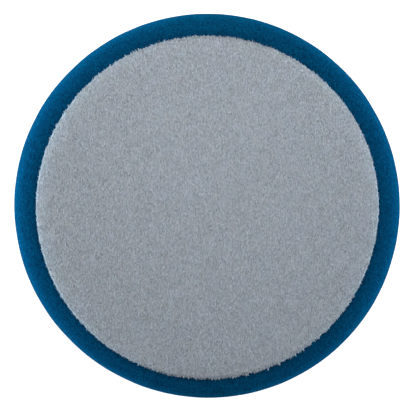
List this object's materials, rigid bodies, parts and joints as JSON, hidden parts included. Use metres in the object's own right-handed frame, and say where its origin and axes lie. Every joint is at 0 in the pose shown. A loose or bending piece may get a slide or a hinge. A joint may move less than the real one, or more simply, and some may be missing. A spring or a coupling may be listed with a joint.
{
  "type": "polishing pad",
  "caption": "Round foam polishing pad with a brushed loop disc bonded to its back, for a hook-and-loop backing plate on a car polisher.",
  "frame": {"origin": "centre of the working face, which the pad lies on", "axes": "+Z along the pad's axis, out of the loop side; the pad is round, so X and Y are free"},
  "size_m": [0.14, 0.14, 0.0275],
  "materials": {
    "foam": "matt open-cell polyurethane foam",
    "hot_melt": "thin translucent hot-melt film",
    "back_coating": "matt pale coating",
    "ground_cloth": "fine knit",
    "loops": "brushed loop pile"
  },
  "bodies": {
    "root": {"foam_body": "foam", "adhesive_film": "hot_melt", "back_coat": "back_coating", "knit_ground": "ground_cloth", "loop_pile": "loops"}
  },
  "joints": []
}
